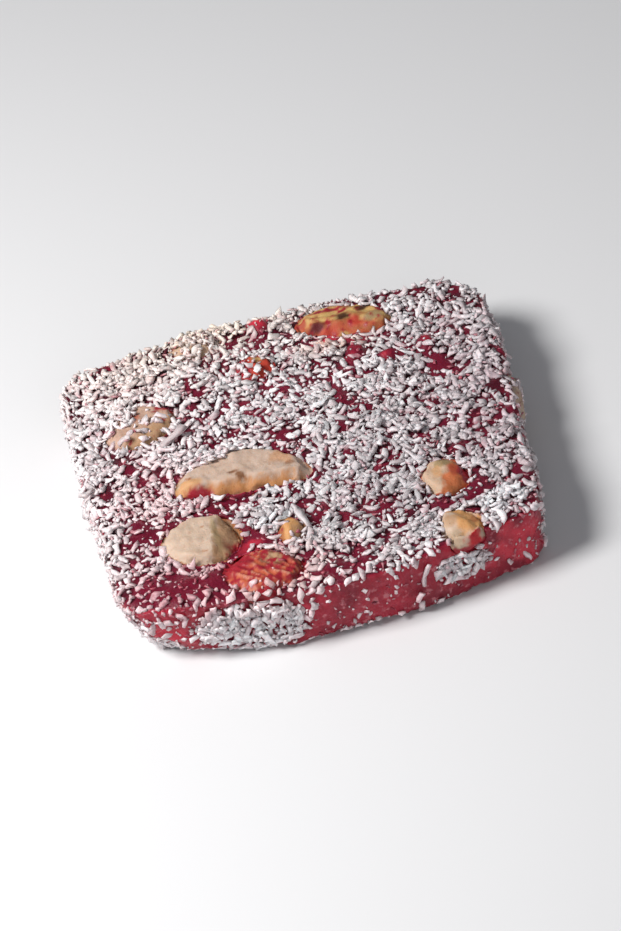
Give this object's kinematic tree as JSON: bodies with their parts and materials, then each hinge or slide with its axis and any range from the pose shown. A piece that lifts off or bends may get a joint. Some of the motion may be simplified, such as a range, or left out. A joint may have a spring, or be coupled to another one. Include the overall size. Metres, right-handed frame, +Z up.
{
  "type": "cezerye slice",
  "caption": "Hand-cut square slice of dark red fruit jelly sweet set with whole and broken nuts and coated in desiccated coconut.",
  "frame": {"origin": "under the middle of the slice, on the surface that it lies on", "axes": "+Z up through the slice's thickness, +X left to right along the front cut wall, +Y from the front cut wall to the back"},
  "size_m": [0.0698, 0.0728, 0.0118],
  "materials": {
    "jelly": "satin",
    "nut": "matte",
    "coconut": "matte"
  },
  "bodies": {
    "root": {"jelly_slab": "jelly", "cashew_middle": "nut", "hazelnut_front_left": "nut", "cashew_back_left": "nut", "nut_piece_right": "nut", "nut_piece_front_right": "nut", "walnut_front": "nut", "nut_piece_front": "nut", "nut_piece_back": "nut", "hazelnut_back_edge": "nut", "almond_back_right": "nut", "cashew_right_wall": "nut", "nut_piece_back_wall": "nut", "cashew_under_middle": "nut", "hazelnut_under_left": "nut", "hazelnut_under_front": "nut"}
  },
  "joints": []
}
